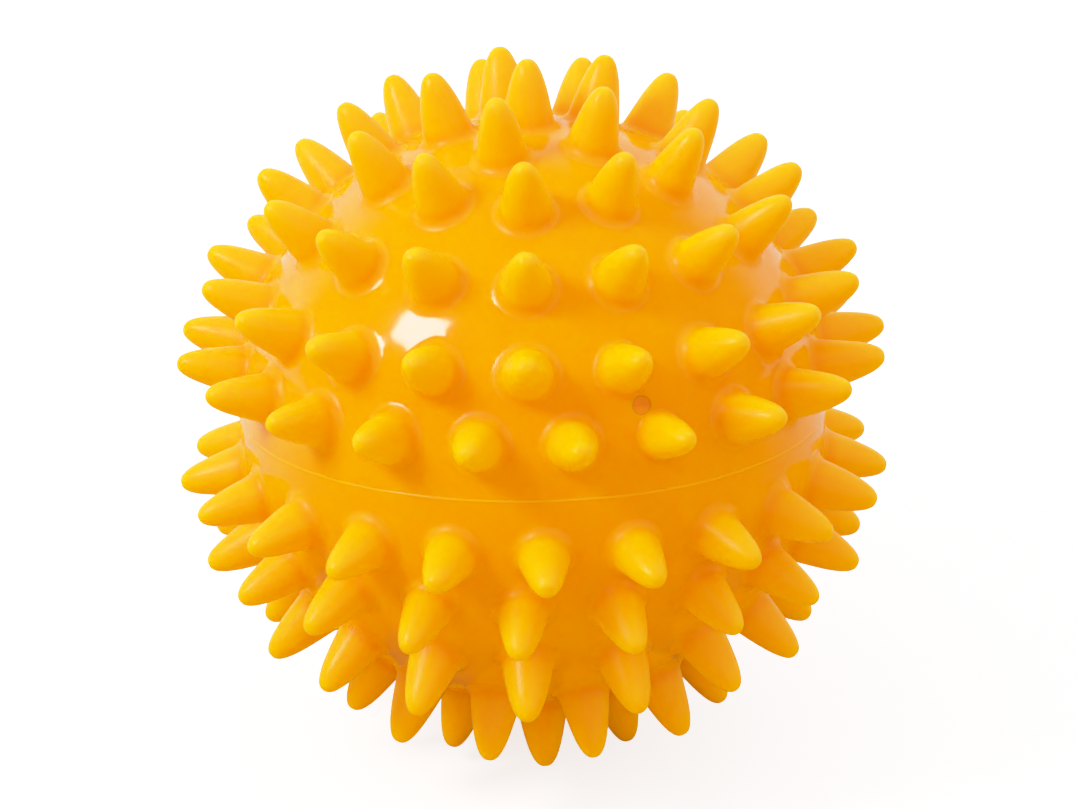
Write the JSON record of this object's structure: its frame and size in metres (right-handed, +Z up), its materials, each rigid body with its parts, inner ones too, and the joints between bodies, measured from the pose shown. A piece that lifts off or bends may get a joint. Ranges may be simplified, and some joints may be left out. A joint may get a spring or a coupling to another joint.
{
  "type": "spiky massage ball",
  "caption": "Hollow soft ball for hand and foot massage, with rings of round-nosed spikes on two welded halves and a needle valve between the spikes.",
  "frame": {"origin": "on the surface that the ball rests on, under the middle of its outline; the ball's centre is straight above it", "axes": "+Z up, out of the surface; the ball rests on its lower pole spike and two spikes of the ring beside it, so its polar axis leans 9.2 degrees towards +Y from +Z in the YZ plane; -Y is the front, where the valve is, a little to the right; +X is to the right"},
  "size_m": [0.0882, 0.0899, 0.089],
  "materials": {
    "skin": "glossy translucent soft PVC, yellow-orange",
    "spikes": "glossy translucent soft PVC, the skin's own, a little more yellow at the noses",
    "weld_bead": "glossy bead of the same PVC, uneven",
    "valve_sleeve": "satin soft PVC",
    "valve_plug": "satin rubber, a shade darker than the skin"
  },
  "bodies": {
    "root": {"upper_shell": "skin", "lower_shell": "skin", "seam_bead": "weld_bead", "valve_sleeve": "valve_sleeve", "valve_plug": "valve_plug", "upper_pole_spike": "spikes", "lower_pole_spike": "spikes", "upper_spikes_ring_1": "spikes", "upper_spikes_ring_2": "spikes", "upper_spikes_ring_3": "spikes", "upper_spikes_ring_4": "spikes", "upper_spikes_ring_5": "spikes", "lower_spikes_ring_1": "spikes", "lower_spikes_ring_2": "spikes", "lower_spikes_ring_3": "spikes", "lower_spikes_ring_4": "spikes", "lower_spikes_ring_5": "spikes"}
  },
  "joints": []
}
